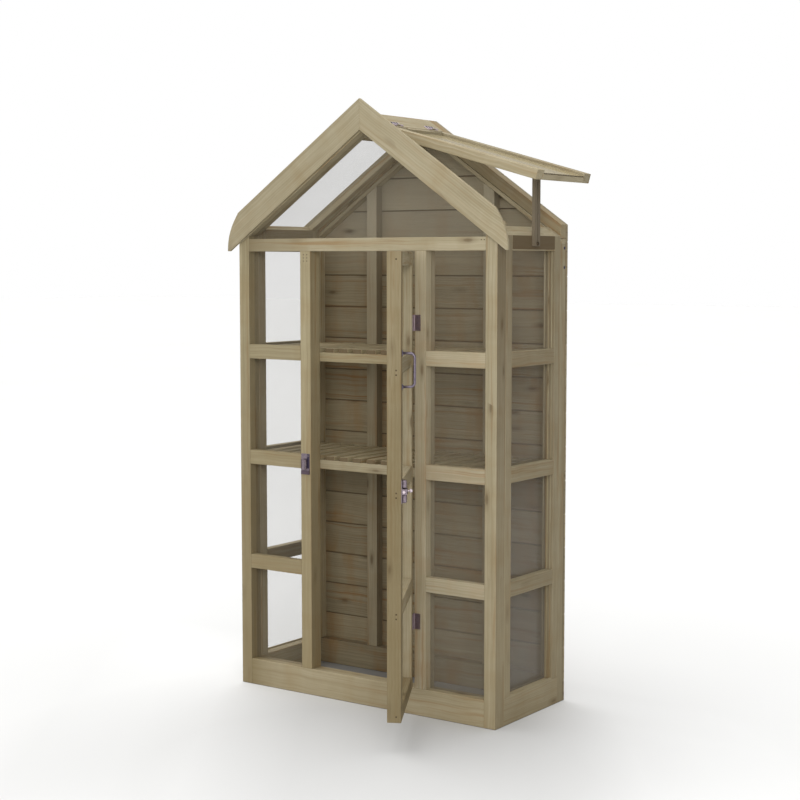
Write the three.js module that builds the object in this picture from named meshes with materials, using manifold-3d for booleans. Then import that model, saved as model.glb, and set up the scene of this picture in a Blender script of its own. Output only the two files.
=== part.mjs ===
// Wooden mini greenhouse with a glazed door, a lifting roof vent and slatted shelves.
// Millimetres, +Z up. X runs along the front, Y goes from the front to the boarded back.
// The origin is the centre of the underside of the front bottom rail.
import * as THREE from 'three';
import { mergeVertices } from 'three/addons/utils/BufferGeometryUtils.js';
import Module from 'manifold-3d';

const wasm = await Module();
wasm.setup();

// Frame
const frameWidth = 900;
const timberWidth = 37;
const frontDepth = 45;
const sideDepth = 293;
const rearDepth = 30;
const boardThickness = 12;
const bottomRailHeight = 77;
const topRailHeight = 37;
const topRailUnderside = 1299.5;
const doorOpeningWidth = 366;
const sideStileWidth = 32;
const eaveRailRise = 3.5;

// Short rails that divide the glazing
const barHeight = 42;
const barDepth = 24;
const barHeightShares = [0.2434, 0.501, 0.7587];

// Glazing
const paneThickness = 3;
const paneClearance = 1;

// Roof
const eaveRise = 37.75;
const roofPitch = THREE.MathUtils.degToRad(34.8);
const rafterDepth = 45;
const ridgePlateWidth = 63;
const ridgePlateThickness = 17;
const ridgeStemDepth = 73;
const lightFrameThickness = 27;
const lightOverhang = 21.75;
const lightTopRailWidth = 24;
const lightBottomRailWidth = 48;
const lightBarWidth = 38;
const lightBarThickness = 16;
const lightSideClearance = 1;
const lightEndClearance = 1.5;

// Barge boards
const bargeWidth = 72;
const bargeThickness = 9;
const bargeRise = 37;
const bargeStraightInset = 3;
const bargeOverhang = 37;
const bargeTipDrop = 85;
const bargeTipWidth = 7;
const tailRunShare = 0.45;
const tailDropShares = [0.25, 0.5];
const tailSteps = 12;

// Back wall
const boardPitch = 97.8;
const firstGrooveHeight = 61.2;
const grooveWidth = 6;
const grooveDepth = 2.5;
const battenWidth = 37;
const battenOffset = 9;

// Door
const doorThickness = 37;
const doorStileWidth = 37;
const doorRailHeight = 37;
const doorHingeClearance = 1;
const doorLatchClearance = 3.5;
const doorEndClearance = 3;
const doorOpenAngle = THREE.MathUtils.degToRad(120);

// Butt hinges
const hingeLength = 44;
const hingePlateWidth = 19;
const hingePlateThickness = 1.8;
const knuckleRadius = 3.2;
const pinRadius = 1.6;
const hingeGap = 0.3;
const hingeSides = 12;
const doorHingeTopInset = 194.5;
const doorHingeFootInset = 188;
const ventHingeInset = 57.5;

// Pull handle
const handleDrop = 10;
const handleSpan = 88;
const handleReach = 32;
const handleRodRadius = 4;
const handleBend = 8;
const handleFootRadius = 8;
const handleFootThickness = 2.5;
const handleSides = 8;
const handleSteps = 28;

// Barrel bolt and its keep
const boltDrop = 7;
const boltPlateHeight = 61;
const boltPlateThickness = 2;
const boltRodRadius = 3.6;
const boltRodInset = 0.5;
const boltClearance = 0.6;
const boltWall = 3;
const boltTravel = 24;
const boltNeckRadius = 2;
const boltEndWall = 2.5;
const boltKnobRadius = 5;
const boltKnobReach = 8;
const keepPlateWidth = 30;
const keepPlateOffset = 4;
const keepBridgeWidth = 12;
const keepBridgeHeight = 30;

// Vent and its sliding stay
const ventOpenAngle = THREE.MathUtils.degToRad(19.1);
const stayWidth = 28;
const stayThickness = 10;
const stayFootDrop = 7;
const staySlotWidth = 5.4;
const stayScrewRadius = 2;
const stayScrewHeadRadius = 5.5;
const stayScrewHeadThickness = 2.5;
const stayScrewRise = 16;
const stayScrewSides = 12;

// Shelves
const shelfSlatWidth = 32;
const shelfSlatThickness = 12;
const shelfSlatPitch = 48.6;
const shelfBearerHeight = 27;
const shelfBearerDepth = 14;
const shelfRise = 14.5;

// Clearances
const seatGap = 0.3;
const overrun = 5;

// Derived places
const halfWidth = frameWidth / 2;
const halfClear = halfWidth - timberWidth;
const halfDoorway = doorOpeningWidth / 2;
const rearFace = frontDepth + sideDepth;
const boardFace = rearFace + rearDepth;
const backFace = boardFace + boardThickness;
const topRailTop = topRailUnderside + topRailHeight;
const glazedHeight = topRailUnderside - bottomRailHeight;
const barCentres = barHeightShares.map((share) => bottomRailHeight + share * glazedHeight);
const eaveRailUnderside = topRailUnderside + eaveRailRise;
const apexHeight = topRailTop + eaveRise + halfWidth * Math.tan(roofPitch);
const bargeTipRun = halfWidth + bargeOverhang;
const bargeStraightRun = halfWidth - bargeStraightInset;
const battenCentre = halfDoorway + timberWidth / 2 + battenOffset;
const sideOpeningStart = frontDepth + sideStileWidth;
const sideOpeningEnd = rearFace - sideStileWidth;
const paneFront = barDepth;
const paneBack = paneFront + paneThickness;
const knuckleOffset = knuckleRadius + hingeGap;
const lightStart = ridgePlateWidth + lightEndClearance;
const lightEnd = (halfWidth + lightOverhang) / Math.cos(roofPitch);
const lightFront = frontDepth + lightSideClearance;
const lightBack = rearFace - lightSideClearance;
const hingeAxisRun = ridgePlateWidth + lightEndClearance / 2;
const doorAxisX = halfDoorway + hingeGap + doorHingeClearance / 2;
const doorHingeEdge = halfDoorway - doorHingeClearance;
const doorLatchEdge = doorLatchClearance - halfDoorway;
const doorBottom = bottomRailHeight + doorEndClearance;
const doorTop = topRailUnderside - doorEndClearance;
const doorInnerBottom = doorBottom + doorRailHeight;
const doorInnerTop = doorTop - doorRailHeight;
const doorHingeHeights = { upper: doorTop - doorHingeTopInset, lower: doorBottom + doorHingeFootInset };
const ventHingeDepths = { front: lightFront + ventHingeInset, rear: lightBack - ventHingeInset };
const handleCentre = barCentres[2] - handleDrop;
const boltHeight = barCentres[1] - boltDrop;
const stayCentreDepth = (lightFront + lightBack) / 2;
const stayScrewHeight = eaveRailUnderside + stayScrewRise;
const stayFootHeight = stayScrewHeight - stayFootDrop;
const latchStileInner = doorLatchEdge + doorStileWidth;
const hingeStileInner = doorHingeEdge - doorStileWidth;
const latchStileCentre = doorLatchEdge + doorStileWidth / 2;
const boltBore = boltRodRadius + boltClearance;
const boltPlateWidth = boltTravel + 2 * (boltEndWall + boltNeckRadius + boltClearance);
const boltAxisY = -(boltPlateThickness + boltWall / 2 + boltRodRadius);
const boltHousingFace = boltAxisY - boltBore - boltWall;

// Height of the roof plane, and of a plane lying a given depth under it
function underRoof(x, depth) {
  return apexHeight - Math.abs(x) * Math.tan(roofPitch) - depth / Math.cos(roofPitch);
}

// A closed solid for boolean work, and the mesh geometry made from one
function toSolid(geometry) {
  const plain = (geometry.index ? geometry.toNonIndexed() : geometry).clone();
  plain.deleteAttribute('normal');
  plain.deleteAttribute('uv');
  const merged = mergeVertices(plain);
  const vertProperties = new Float32Array(merged.attributes.position.array);
  const triVerts = new Uint32Array(merged.index.array);
  return new wasm.Manifold(new wasm.Mesh({ numProp: 3, vertProperties, triVerts }));
}

function fromSolid(solid) {
  const mesh = solid.getMesh();
  const geometry = new THREE.BufferGeometry();
  geometry.setAttribute('position', new THREE.BufferAttribute(new Float32Array(mesh.vertProperties), 3));
  geometry.setIndex(new THREE.BufferAttribute(new Uint32Array(mesh.triVerts), 1));
  const faceted = geometry.toNonIndexed();
  faceted.computeVertexNormals();
  return faceted;
}

function joined(geometries) {
  return fromSolid(geometries.map(toSolid).reduce((total, next) => total.add(next)));
}

function cut(geometry, tools) {
  return fromSolid(tools.map(toSolid).reduce((total, next) => total.subtract(next), toSolid(geometry)));
}

function common(first, second) {
  return fromSolid(toSolid(first).intersect(toSolid(second)));
}

// A block between two values on each axis, given in either order
function block(x0, x1, y0, y1, z0, z1) {
  const geometry = new THREE.BoxGeometry(Math.abs(x1 - x0), Math.abs(y1 - y0), Math.abs(z1 - z0));
  return geometry.translate((x0 + x1) / 2, (y0 + y1) / 2, (z0 + z1) / 2);
}

// An outline in X and Z carried along Y
function alongY(points, y0, y1) {
  const outline = new THREE.Shape(points.map(([x, z]) => new THREE.Vector2(x, z)));
  const geometry = new THREE.ExtrudeGeometry(outline, { depth: y1 - y0, bevelEnabled: false });
  return geometry.rotateX(Math.PI / 2).translate(0, y1, 0);
}

// An outline in Y and Z carried along X
function alongX(points, x0, x1) {
  const outline = new THREE.Shape(points.map(([y, z]) => new THREE.Vector2(y, z)));
  const geometry = new THREE.ExtrudeGeometry(outline, { depth: x1 - x0, bevelEnabled: false });
  const turn = new THREE.Matrix4().makeBasis(
    new THREE.Vector3(0, 1, 0),
    new THREE.Vector3(0, 0, 1),
    new THREE.Vector3(1, 0, 0),
  );
  return geometry.applyMatrix4(turn).translate(x0, 0, 0);
}

// A round rod along Z, X or Y between two values
function rodZ(radius, z0, z1, sides) {
  const geometry = new THREE.CylinderGeometry(radius, radius, z1 - z0, sides);
  return geometry.rotateX(Math.PI / 2).translate(0, 0, (z0 + z1) / 2);
}

function rodX(radius, x0, x1, sides) {
  const geometry = new THREE.CylinderGeometry(radius, radius, x1 - x0, sides);
  return geometry.rotateZ(Math.PI / 2).translate((x0 + x1) / 2, 0, 0);
}

function rodY(radius, y0, y1, sides) {
  const geometry = new THREE.CylinderGeometry(radius, radius, y1 - y0, sides);
  return geometry.translate(0, (y0 + y1) / 2, 0);
}

// Materials
function timber() {
  return new THREE.MeshStandardMaterial({ color: 0xa69c81, roughness: 0.85, metalness: 0 });
}

function boarding() {
  return new THREE.MeshStandardMaterial({ color: 0x8f8468, roughness: 0.9, metalness: 0 });
}

function glazing() {
  return new THREE.MeshStandardMaterial({
    color: 0xe2e4e2,
    roughness: 0.12,
    metalness: 0,
    transparent: true,
    opacity: 0.25,
  });
}

function darkSteel() {
  return new THREE.MeshStandardMaterial({ color: 0x554b5a, roughness: 0.45, metalness: 0.8 });
}

function add(group, name, geometry, material) {
  const mesh = new THREE.Mesh(geometry, material);
  mesh.name = name;
  group.add(mesh);
}

// The inner group is measured from the front face of the frame
const part = new THREE.Group();
const shell = new THREE.Group();
shell.position.y = -frontDepth / 2;
part.add(shell);

// Corner post with its head cut to the slope under a rafter
function cornerPost(side, y0, y1) {
  const outer = side * halfWidth;
  const inner = side * halfClear;
  const depth = rafterDepth + seatGap;
  const outline = [
    [outer, 0],
    [inner, 0],
    [inner, underRoof(inner, depth)],
    [outer, underRoof(outer, depth)],
  ];
  return alongY(side > 0 ? outline.reverse() : outline, y0, y1);
}

// Rafter with its top on the roof plane, mitred at the ridge
function rafter(side, y0, y1) {
  const outer = side * halfWidth;
  const outline = [
    [0, apexHeight],
    [outer, underRoof(outer, 0)],
    [outer, underRoof(outer, rafterDepth)],
    [0, underRoof(0, rafterDepth)],
  ];
  return alongY(side > 0 ? outline : outline.reverse(), y0, y1);
}

// Barge board with a shaped tail
function bargeBoard(side) {
  const slopeTop = -bargeRise * Math.cos(roofPitch);
  const slopeFoot = slopeTop + bargeWidth;
  const shoulderHeight = underRoof(bargeStraightRun, slopeTop);
  const tipHeight = underRoof(bargeTipRun, slopeTop) - bargeTipDrop;
  const [shoulder, bulge] = tailDropShares.map((share) => THREE.MathUtils.lerp(shoulderHeight, tipHeight, share));
  const shoulderRun = THREE.MathUtils.lerp(bargeStraightRun, bargeTipRun, tailRunShare);
  const tail = new THREE.CubicBezierCurve(
    new THREE.Vector2(bargeStraightRun, shoulderHeight),
    new THREE.Vector2(shoulderRun, shoulder),
    new THREE.Vector2(bargeTipRun, bulge),
    new THREE.Vector2(bargeTipRun, tipHeight),
  );
  const outline = [
    [0, underRoof(0, slopeTop)],
    ...tail.getPoints(tailSteps).map((point) => [point.x, point.y]),
    [bargeTipRun - bargeTipWidth, tipHeight],
    [0, underRoof(0, slopeFoot)],
  ];
  return alongY(outline.map(([x, z]) => [side * x, z]), -bargeThickness, 0);
}

// Side window frame: two stiles and the rails between them, in one joined piece
function sideWindowFrame(side) {
  const outer = side * halfWidth;
  const inner = side * halfClear;
  const depth = lightFrameThickness + seatGap;
  const outline = [
    [outer, bottomRailHeight],
    [inner, bottomRailHeight],
    [inner, underRoof(inner, depth)],
    [outer, underRoof(outer, depth)],
  ];
  const stiles = [
    [frontDepth, sideOpeningStart],
    [sideOpeningEnd, rearFace],
  ].map(([y0, y1]) => alongY(outline, y0, y1));
  const lap = sideStileWidth / 2;
  const rails = barCentres.map((centre) => block(
    outer,
    outer - side * barDepth,
    sideOpeningStart - lap,
    sideOpeningEnd + lap,
    centre - barHeight / 2,
    centre + barHeight / 2,
  ));
  return joined([...stiles, ...rails]);
}

// Eave rail between the side stiles, bevelled under the roof light
function eaveRail(side) {
  const outer = side * halfWidth;
  const inner = side * halfClear;
  const depth = lightFrameThickness + seatGap;
  const outline = [
    [outer, eaveRailUnderside],
    [inner, eaveRailUnderside],
    [inner, underRoof(inner, depth)],
    [outer, underRoof(outer, depth)],
  ];
  return alongY(outline, sideOpeningStart, sideOpeningEnd);
}

// Screw on which the slotted stay slides
function stayScrew() {
  const headFace = halfWidth + seatGap + stayThickness + seatGap;
  const neck = rodX(stayScrewRadius, halfClear + timberWidth / 2, headFace + seatGap, stayScrewSides);
  const head = rodX(stayScrewHeadRadius, headFace, headFace + stayScrewHeadThickness, stayScrewSides);
  return joined([neck, head]).translate(0, stayCentreDepth, stayScrewHeight);
}

// Grooved boards, two battens and the rear bottom rail, in one joined piece
function backWall() {
  const house = [
    [-halfWidth, 0],
    [halfWidth, 0],
    [halfWidth, underRoof(halfWidth, 0)],
    [0, apexHeight],
    [-halfWidth, underRoof(halfWidth, 0)],
  ];
  const grooves = [];
  for (let height = firstGrooveHeight; height + grooveWidth < apexHeight; height += boardPitch) {
    grooves.push(height);
  }
  const front = grooves.flatMap((height) => [
    [boardFace, height - grooveWidth / 2],
    [boardFace + grooveDepth, height],
    [boardFace, height + grooveWidth / 2],
  ]);
  const back = [...grooves].reverse().flatMap((height) => [
    [backFace, height + grooveWidth / 2],
    [backFace - grooveDepth, height],
    [backFace, height - grooveWidth / 2],
  ]);
  const section = [
    [boardFace, 0],
    ...front,
    [boardFace, apexHeight + overrun],
    [backFace, apexHeight + overrun],
    ...back,
    [backFace, 0],
  ].reverse();
  const boards = common(
    alongX(section, -halfWidth, halfWidth),
    alongY(house, boardFace - overrun, backFace + overrun),
  );
  const lap = boardFace + boardThickness / 2;
  const battens = [-1, 1].map((side) => {
    const near = side * (battenCentre - battenWidth / 2);
    const far = side * (battenCentre + battenWidth / 2);
    const depth = rafterDepth + seatGap;
    return alongY([
      [near, bottomRailHeight / 2],
      [far, bottomRailHeight / 2],
      [far, underRoof(far, depth)],
      [near, underRoof(near, depth)],
    ], rearFace, lap);
  });
  const rail = block(-halfClear, halfClear, rearFace, lap, 0, bottomRailHeight);
  return joined([boards, rail, ...battens]);
}

// Ridge board: a stem with a plate lying on each slope
function ridgeBoard() {
  const run = ridgePlateWidth * Math.cos(roofPitch);
  const inset = ridgePlateThickness * Math.sin(roofPitch);
  const stem = timberWidth / 2;
  const half = [
    [run, underRoof(run, 0)],
    [run - inset, underRoof(run - inset, ridgePlateThickness)],
    [stem, underRoof(stem, ridgePlateThickness)],
    [stem, apexHeight - ridgeStemDepth],
  ];
  const mirrored = [...half].reverse().map(([x, z]) => [-x, z]);
  return alongY([[0, apexHeight], ...half, ...mirrored], frontDepth, rearFace);
}

// Roof light frame in the plane of one slope: X runs down the slope and Z out of it.
// The bottom rail and the vent's middle bar lie under the pane, the stiles beside it.
function lightFrame(side) {
  const stile = timberWidth;
  const foot = -lightFrameThickness;
  const barTop = foot + lightBarThickness;
  const middle = (lightFront + lightBack) / 2;
  const from = side * lightStart;
  const to = side * lightEnd;
  const railFrom = side * (lightEnd - lightBottomRailWidth);
  const bar = block(from, to, middle - lightBarWidth / 2, middle + lightBarWidth / 2, foot, barTop);
  return joined([
    block(from, to, lightFront, lightFront + stile, foot, 0),
    block(from, to, lightBack - stile, lightBack, foot, 0),
    block(from, from + side * lightTopRailWidth, lightFront, lightBack, foot, 0),
    block(railFrom, to, lightFront, lightBack, foot, barTop),
    ...(side > 0 ? [bar] : []),
  ]);
}

function lightPane(side) {
  const stile = timberWidth + paneClearance;
  const foot = lightBarThickness - lightFrameThickness + seatGap;
  return block(
    side * (lightStart + lightTopRailWidth + paneClearance),
    side * lightEnd,
    lightFront + stile,
    lightBack - stile,
    foot,
    foot + paneThickness,
  );
}

// One leaf of a butt hinge. The pin runs along Z, and the leaf lies a gap short of y = knuckleOffset.
// The outer leaf carries the end knuckles and the pin, the inner leaf the bored middle one.
function hingeLeaf(side, outer, gap) {
  const half = hingeLength / 2;
  const third = hingeLength / 6;
  const near = side * knuckleOffset;
  const back = knuckleOffset - gap;
  const front = back - hingePlateThickness;
  const plate = block(near, side * hingePlateWidth, front, back, -half, half);
  const spans = outer ? [[-half, -third - hingeGap], [third + hingeGap, half]] : [[-third, third]];
  const knuckles = spans.flatMap(([z0, z1]) => [
    rodZ(knuckleRadius, z0, z1, hingeSides),
    block(0, near + side * hingePlateThickness, front, front + hingePlateThickness / 2, z0, z1),
  ]);
  if (outer) {
    return joined([plate, ...knuckles, rodZ(pinRadius, -half, half, hingeSides)]);
  }
  const bore = rodZ(pinRadius + hingeGap, -half, half, hingeSides);
  return cut(joined([plate, ...knuckles]), [bore]);
}

// Frame, posts, rails and glazing of the front
const sides = [['left', -1], ['right', 1]];
for (const [label, side] of sides) {
  add(shell, `front_post_${label}`, cornerPost(side, 0, frontDepth), timber());
  add(shell, `rear_post_${label}`, cornerPost(side, rearFace, boardFace), timber());
  add(shell, `front_rafter_${label}`, rafter(side, 0, frontDepth), timber());
  add(shell, `rear_rafter_${label}`, rafter(side, rearFace, boardFace), timber());
  add(shell, `barge_board_${label}`, bargeBoard(side), timber());
  const stileInner = side * halfDoorway;
  const stileOuter = side * (halfDoorway + timberWidth);
  const stile = block(stileInner, stileOuter, 0, frontDepth, bottomRailHeight, topRailUnderside);
  add(shell, `front_stile_${label}`, stile, timber());
  barCentres.forEach((centre, index) => {
    const low = centre - barHeight / 2;
    const bar = block(stileOuter, side * halfClear, 0, barDepth, low, low + barHeight);
    add(shell, `front_rail_${label}_${index + 1}`, bar, timber());
  });
  const paneInner = stileOuter + side * paneClearance;
  const paneOuter = side * (halfClear - paneClearance);
  const paneLow = bottomRailHeight + seatGap;
  const paneHigh = topRailUnderside - paneClearance;
  const pane = block(paneInner, paneOuter, paneFront, paneBack, paneLow, paneHigh);
  add(shell, `pane_front_${label}`, pane, glazing());
}
const frontRail = block(-halfClear, halfClear, 0, frontDepth, 0, bottomRailHeight);
add(shell, 'front_bottom_rail', frontRail, timber());
const topRail = block(-halfClear, halfClear, 0, frontDepth, topRailUnderside, topRailTop);
add(shell, 'front_top_rail', topRail, timber());

// Pane that fills the front gable
const gableHalf = halfClear - paneClearance;
const gableDepth = rafterDepth + seatGap;
const gable = alongY([
  [-gableHalf, topRailTop + seatGap],
  [gableHalf, topRailTop + seatGap],
  [gableHalf, underRoof(gableHalf, gableDepth)],
  [0, underRoof(0, gableDepth)],
  [-gableHalf, underRoof(gableHalf, gableDepth)],
], paneFront, paneBack);
add(shell, 'pane_gable', gable, glazing());

// Sides
for (const [label, side] of sides) {
  const outer = side * halfWidth;
  const rail = block(outer, side * halfClear, frontDepth, rearFace, 0, bottomRailHeight);
  add(shell, `side_bottom_rail_${label}`, rail, timber());
  add(shell, `side_window_frame_${label}`, sideWindowFrame(side), timber());
  const eave = side > 0 ? joined([eaveRail(side), stayScrew()]) : eaveRail(side);
  add(shell, `side_eave_rail_${label}`, eave, timber());
  const paneX = outer - side * (barDepth + seatGap);
  const pane = block(
    paneX,
    paneX - side * paneThickness,
    sideOpeningStart + paneClearance,
    sideOpeningEnd - paneClearance,
    bottomRailHeight + seatGap,
    eaveRailUnderside - paneClearance,
  );
  add(shell, `pane_side_${label}`, pane, glazing());
}

// Back and ridge
add(shell, 'back_wall', backWall(), boarding());
add(shell, 'ridge_board', ridgeBoard(), timber());

// Slatted shelves on a front and a rear bearer
function shelf(top) {
  const half = halfClear - seatGap;
  const front = frontDepth + seatGap;
  const back = rearFace - seatGap;
  const slatFoot = top - shelfSlatThickness;
  const bearerFoot = slatFoot - shelfBearerHeight;
  const lap = slatFoot + shelfSlatThickness / 2;
  const bearers = [
    block(-half, half, front, front + shelfBearerDepth, bearerFoot, lap),
    block(-half, half, back - shelfBearerDepth, back, bearerFoot, lap),
  ];
  const gaps = Math.floor((2 * half - shelfSlatWidth) / shelfSlatPitch);
  const pitch = (2 * half - shelfSlatWidth) / gaps;
  const slats = [];
  for (let index = 0; index <= gaps; index += 1) {
    const x = index * pitch - half;
    slats.push(block(x, x + shelfSlatWidth, front, back, slatFoot, top));
  }
  return joined([...bearers, ...slats]);
}
add(shell, 'shelf_lower', shelf(barCentres[1] + shelfRise), timber());
add(shell, 'shelf_upper', shelf(barCentres[2] + shelfRise), timber());

// Door, drawn shut and then turned about its hinges
const doorTurn = new THREE.Group();
const door = new THREE.Group();
doorTurn.position.set(doorAxisX, -knuckleOffset, 0);
doorTurn.rotation.z = doorOpenAngle;
door.position.set(-doorAxisX, knuckleOffset, 0);
doorTurn.add(door);
shell.add(doorTurn);

const stileHeights = [doorBottom, doorTop];
add(door, 'door_stile_hinge', block(hingeStileInner, doorHingeEdge, 0, doorThickness, ...stileHeights), timber());
add(door, 'door_stile_latch', block(doorLatchEdge, latchStileInner, 0, doorThickness, ...stileHeights), timber());
const railFrom = latchStileInner + seatGap;
const railTo = hingeStileInner - seatGap;
const doorTopRail = block(railFrom, railTo, 0, doorThickness, doorInnerTop, doorTop);
add(door, 'door_rail_top', doorTopRail, timber());
const doorBottomRail = block(railFrom, railTo, 0, doorThickness, doorBottom, doorInnerBottom);
add(door, 'door_rail_bottom', doorBottomRail, timber());
barCentres.forEach((centre, index) => {
  const low = centre - barHeight / 2;
  const bar = block(railFrom, railTo, 0, barDepth, low, low + barHeight);
  add(door, `door_rail_${index + 1}`, bar, timber());
});
const doorPane = block(
  latchStileInner + paneClearance,
  hingeStileInner - paneClearance,
  paneFront + seatGap,
  paneBack + seatGap,
  doorInnerBottom + seatGap,
  doorInnerTop - paneClearance,
);
add(door, 'pane_door', doorPane, glazing());

// Pull handle: a bent rod between two round feet
function pullHandle() {
  const half = handleSpan / 2;
  const foot = handleFootThickness;
  const reach = handleReach - handleRodRadius;
  const path = new THREE.CurvePath();
  const corner = (y, z) => new THREE.Vector3(0, y, z);
  const bend = reach - handleBend;
  path.add(new THREE.LineCurve3(corner(-foot / 2, -half), corner(-bend, -half)));
  path.add(new THREE.QuadraticBezierCurve3(
    corner(-bend, -half),
    corner(-reach, -half),
    corner(-reach, handleBend - half),
  ));
  path.add(new THREE.LineCurve3(corner(-reach, handleBend - half), corner(-reach, half - handleBend)));
  path.add(new THREE.QuadraticBezierCurve3(
    corner(-reach, half - handleBend),
    corner(-reach, half),
    corner(-bend, half),
  ));
  path.add(new THREE.LineCurve3(corner(-bend, half), corner(-foot / 2, half)));
  const ring = Array.from({ length: handleSides }, (_, index) => {
    const angle = (index / handleSides) * 2 * Math.PI;
    return new THREE.Vector2(handleRodRadius * Math.cos(angle), handleRodRadius * Math.sin(angle));
  });
  const rod = new THREE.ExtrudeGeometry(new THREE.Shape(ring), { steps: handleSteps, extrudePath: path });
  const feet = [-half, half].map((z) => rodY(handleFootRadius, -foot, 0, hingeSides).translate(0, 0, z));
  return joined([rod, ...feet]);
}
const handle = pullHandle().translate(latchStileCentre, -seatGap, handleCentre);
add(door, 'door_handle', handle, darkSteel());

// Bolt housing: a plate with a bored barrel, slotted for the knob
const boltHalf = boltPlateWidth / 2;
function boltHousing() {
  const half = boltPlateHeight / 2;
  const barrel = boltBore + boltWall;
  const face = -seatGap;
  const plate = block(-boltHalf, boltHalf, -boltPlateThickness, face, -half, half);
  const body = block(-boltHalf, boltHalf, boltHousingFace, face, -barrel, barrel);
  const bore = rodX(boltBore, -boltHalf - overrun, boltHalf + overrun, hingeSides).translate(0, boltAxisY, 0);
  const slotHalf = boltHalf - boltEndWall;
  const slotWidth = boltNeckRadius + boltClearance;
  const slot = block(-slotHalf, slotHalf, boltAxisY, boltHousingFace - overrun, -slotWidth, slotWidth);
  return cut(joined([plate, body]), [bore, slot]);
}

// Sliding rod with its knob, drawn back clear of the door edge
function slidingBolt() {
  const from = -doorStileWidth / 2 + boltRodInset;
  const rod = rodX(boltRodRadius, from, from + boltPlateWidth, hingeSides).translate(0, boltAxisY, 0);
  const neckX = boltHalf - boltEndWall - boltNeckRadius - boltClearance / 2;
  const knobY = boltHousingFace - boltKnobReach;
  const neck = rodY(boltNeckRadius, knobY, boltAxisY, handleSides).translate(neckX, 0, 0);
  const knob = new THREE.SphereGeometry(boltKnobRadius, hingeSides, handleSides).translate(neckX, knobY, 0);
  return joined([rod, neck, knob]);
}
add(door, 'bolt_plate', boltHousing().translate(latchStileCentre, 0, boltHeight), darkSteel());
add(door, 'bolt', slidingBolt().translate(latchStileCentre, 0, boltHeight), darkSteel());

// Keep on the frame stile: a plate with a raised bridge that the rod enters
function boltKeep() {
  const half = boltPlateHeight / 2;
  const bridge = keepBridgeHeight / 2;
  const width = keepBridgeWidth / 2;
  const plate = block(-keepPlateWidth / 2, keepPlateWidth / 2, -boltPlateThickness, 0, -half, half);
  const body = block(-width, width, boltHousingFace, 0, -bridge, bridge);
  const passage = block(
    -width - overrun,
    width + overrun,
    boltAxisY - boltBore,
    -boltPlateThickness,
    -boltBore,
    boltBore,
  );
  return cut(joined([plate, body]), [passage]);
}
const keepX = -halfDoorway - keepPlateOffset - keepPlateWidth / 2;
add(shell, 'bolt_keep', boltKeep().translate(keepX, 0, boltHeight), darkSteel());

// Door hinges
for (const [label, height] of Object.entries(doorHingeHeights)) {
  const fixed = hingeLeaf(1, true, 0).translate(doorAxisX, -knuckleOffset, height);
  add(shell, `door_hinge_${label}_frame_leaf`, fixed, darkSteel());
  const moving = hingeLeaf(-1, false, seatGap).translate(doorAxisX, -knuckleOffset, height);
  add(door, `door_hinge_${label}_door_leaf`, moving, darkSteel());
}

// Left slope: a fixed roof light
const leftSlope = new THREE.Group();
leftSlope.position.z = apexHeight;
leftSlope.rotation.y = -roofPitch;
shell.add(leftSlope);
add(leftSlope, 'roof_frame_left', lightFrame(-1), timber());
add(leftSlope, 'pane_roof_left', lightPane(-1), glazing());

// Right slope: the vent, drawn shut and then turned up about its hinges
const rightSlope = new THREE.Group();
rightSlope.position.z = apexHeight;
rightSlope.rotation.y = roofPitch;
shell.add(rightSlope);
const ventTurn = new THREE.Group();
const vent = new THREE.Group();
ventTurn.position.set(hingeAxisRun, 0, knuckleOffset);
ventTurn.rotation.y = -ventOpenAngle;
vent.position.set(-hingeAxisRun, 0, -knuckleOffset);
ventTurn.add(vent);
rightSlope.add(ventTurn);
add(vent, 'vent_frame', lightFrame(1), timber());
add(vent, 'pane_vent', lightPane(1), glazing());
for (const [label, depth] of Object.entries(ventHingeDepths)) {
  const place = (leaf) => leaf.rotateX(-Math.PI / 2).translate(hingeAxisRun, depth, knuckleOffset);
  const fixed = place(hingeLeaf(-1, true, seatGap));
  add(rightSlope, `vent_hinge_${label}_fixed_leaf`, fixed, darkSteel());
  const moving = place(hingeLeaf(1, false, seatGap));
  add(vent, `vent_hinge_${label}_vent_leaf`, moving, darkSteel());
}

// Height of the vent's underside above a place on X, with the vent turned up by an angle
function ventUnderside(x, angle) {
  const slope = roofPitch - angle;
  const axisX = hingeAxisRun * Math.cos(roofPitch) + knuckleOffset * Math.sin(roofPitch);
  const axisZ = apexHeight - hingeAxisRun * Math.sin(roofPitch) + knuckleOffset * Math.cos(roofPitch);
  const drop = (knuckleOffset + lightFrameThickness) / Math.cos(slope);
  return axisZ - drop - (x - axisX) * Math.tan(slope);
}

// Slotted stay that holds the vent up; it slides down on its screw as the vent shuts
function ventStay() {
  const inner = halfWidth + seatGap;
  const outer = inner + stayThickness;
  const y0 = stayCentreDepth - stayWidth / 2;
  const slat = alongY([
    [inner, stayFootHeight],
    [outer, stayFootHeight],
    [outer, ventUnderside(outer, ventOpenAngle) - seatGap],
    [inner, ventUnderside(inner, ventOpenAngle) - seatGap],
  ], y0, y0 + stayWidth);
  const travel = ventUnderside(outer, ventOpenAngle) - ventUnderside(outer, 0);
  const slotHalf = staySlotWidth / 2;
  const slot = block(
    inner - overrun,
    outer + overrun,
    stayCentreDepth - slotHalf,
    stayCentreDepth + slotHalf,
    stayScrewHeight - slotHalf - seatGap,
    stayScrewHeight + travel + slotHalf,
  );
  return cut(slat, [slot]);
}
add(shell, 'vent_stay', ventStay(), timber());

export default part;
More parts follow.
